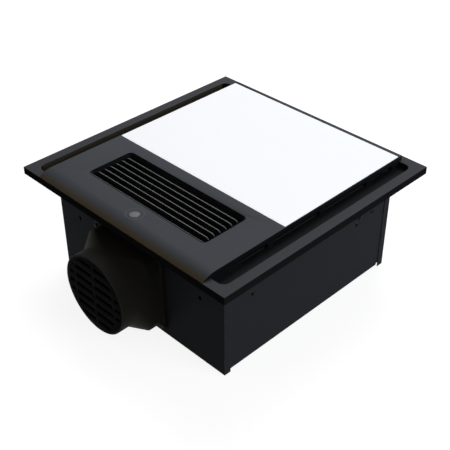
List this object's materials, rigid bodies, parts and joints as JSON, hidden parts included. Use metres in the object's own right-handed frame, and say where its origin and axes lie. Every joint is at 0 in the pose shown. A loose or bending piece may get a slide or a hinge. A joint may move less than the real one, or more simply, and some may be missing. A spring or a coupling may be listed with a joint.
{
  "type": "bathroom heater exhaust fan",
  "caption": "Square ceiling unit with a warm air louvre, a panel light, side intake troughs, a blower, a changeover damper and a round duct outlet.",
  "frame": {"origin": "centre of the back plate's outer face", "axes": "+Z from the back plate to the room side fascia, the duct leaves along -Y, the light is on the +Y side"},
  "size_m": [0.35, 0.3786, 0.1562],
  "materials": {
    "fascia": "fine textured moulded plastic",
    "panel": "satin charcoal moulding",
    "window": "gloss black infrared window",
    "board": "green circuit board",
    "diffuser": "opal acrylic",
    "tray": "plain aluminium",
    "led_board": "white circuit board",
    "chips": "yellow light chips",
    "bezel": "satin black moulding",
    "vane": "satin charcoal moulding",
    "zinc": "zinc plated steel",
    "steel": "bright steel",
    "nut": "brass",
    "sheet": "black coated sheet steel",
    "adapter": "matt black moulding",
    "flap": "thin aluminium",
    "guide": "black moulding",
    "plate": "grey moulding",
    "foam": "soft rubber",
    "heater": "aluminium",
    "cutout": "black phenolic",
    "motor": "die cast shell",
    "cover": "black coated steel",
    "parts": "blue relay cases",
    "driver": "white moulding",
    "gland": "black nylon"
  },
  "bodies": {
    "housing": {"fascia_frame": "fascia", "centre_panel": "panel", "receiver_window": "window", "receiver_board": "board", "control_board": "board", "light_diffuser": "diffuser", "light_tray": "tray", "led_board": "led_board", "led_chips": "chips", "outlet_bezel": "bezel", "vane_motor_bracket": "zinc", "fascia_screws": "zinc", "side_screws": "zinc", "adapter_screws": "zinc", "motor_screws": "zinc", "heater_frame": "zinc", "vane_motor": "steel", "flap_pin": "steel", "damper_motor": "steel", "back_channel": "sheet", "end_wall_duct": "sheet", "end_wall_far": "sheet", "duct_adapter": "adapter", "duct_guard": "adapter", "outlet_chamber": "guide", "chamber_lid": "guide", "scroll_base": "guide", "scroll_cover": "guide", "control_box": "guide", "scroll_feet": "foam", "motor_grommets": "foam", "heater_bars": "heater", "heater_fins": "heater", "thermal_cutouts": "cutout", "fan_motor": "motor", "control_cover": "cover", "control_parts": "parts", "light_driver": "driver", "run_capacitor": "driver", "terminal_block": "driver", "cable_gland": "gland"},
    "impeller": {"impeller": "guide", "motor_shaft": "steel", "impeller_nut": "nut"},
    "damper": {"damper_plate": "plate", "damper_seal": "foam", "damper_shaft": "steel"},
    "vane_1": {"vane_1": "vane"},
    "vane_2": {"vane_2": "vane"},
    "vane_3": {"vane_3": "vane"},
    "vane_4": {"vane_4": "vane", "vane_motor_shaft": "steel"},
    "vane_5": {"vane_5": "vane"},
    "vane_6": {"vane_6": "vane"},
    "vane_link": {"vane_link": "zinc"},
    "flap_left": {"flap_left": "flap"},
    "flap_right": {"flap_right": "flap"}
  },
  "joints": [
    {"name": "blower_spin", "type": "hinge", "parent": "housing", "child": "impeller", "pos_m": [0.012, 0.05, 0.06], "axis": [0, 0, 1], "continuous": true},
    {"name": "damper_swing", "type": "hinge", "parent": "housing", "child": "damper", "pos_m": [0, -0.134, 0.111], "axis": [1, 0, 0], "range_deg": [0, 90]},
    {"name": "vane_1_tilt", "type": "hinge", "parent": "housing", "child": "vane_1", "pos_m": [0, -0.1207, 0.148], "axis": [1, 0, 0], "range_deg": [-40, 40]},
    {"name": "vane_2_tilt", "type": "hinge", "parent": "housing", "child": "vane_2", "pos_m": [0, -0.1117, 0.148], "axis": [1, 0, 0], "range_deg": [-40, 40]},
    {"name": "vane_3_tilt", "type": "hinge", "parent": "housing", "child": "vane_3", "pos_m": [0, -0.1027, 0.148], "axis": [1, 0, 0], "range_deg": [-40, 40]},
    {"name": "vane_4_tilt", "type": "hinge", "parent": "housing", "child": "vane_4", "pos_m": [0, -0.0937, 0.148], "axis": [1, 0, 0], "range_deg": [-40, 40]},
    {"name": "vane_5_tilt", "type": "hinge", "parent": "housing", "child": "vane_5", "pos_m": [0, -0.0847, 0.148], "axis": [1, 0, 0], "range_deg": [-40, 40]},
    {"name": "vane_6_tilt", "type": "hinge", "parent": "housing", "child": "vane_6", "pos_m": [0, -0.0757, 0.148], "axis": [1, 0, 0], "range_deg": [-40, 40]},
    {"name": "vane_link_pivot", "type": "hinge", "parent": "vane_1", "child": "vane_link", "pos_m": [0.1056, -0.1207, 0.142], "axis": [1, 0, 0], "range_deg": [-40, 40]},
    {"name": "flap_left_swing", "type": "hinge", "parent": "housing", "child": "flap_left", "pos_m": [-0.0103, -0.1518, 0.0604], "axis": [0, 0, 1], "range_deg": [0, 75], "stiffness_Nm_per_rad": 0.002, "springref_deg": -17.19},
    {"name": "flap_right_swing", "type": "hinge", "parent": "housing", "child": "flap_right", "pos_m": [-0.0103, -0.1518, 0.0604], "axis": [0, 0, -1], "range_deg": [0, 75], "stiffness_Nm_per_rad": 0.002, "springref_deg": -17.19}
  ],
  "couplings": [
    {"joint": "vane_2_tilt", "follows": "vane_1_tilt", "ratio": 1},
    {"joint": "vane_3_tilt", "follows": "vane_1_tilt", "ratio": 1},
    {"joint": "vane_4_tilt", "follows": "vane_1_tilt", "ratio": 1},
    {"joint": "vane_5_tilt", "follows": "vane_1_tilt", "ratio": 1},
    {"joint": "vane_6_tilt", "follows": "vane_1_tilt", "ratio": 1},
    {"joint": "vane_link_pivot", "follows": "vane_1_tilt", "ratio": -1}
  ]
}
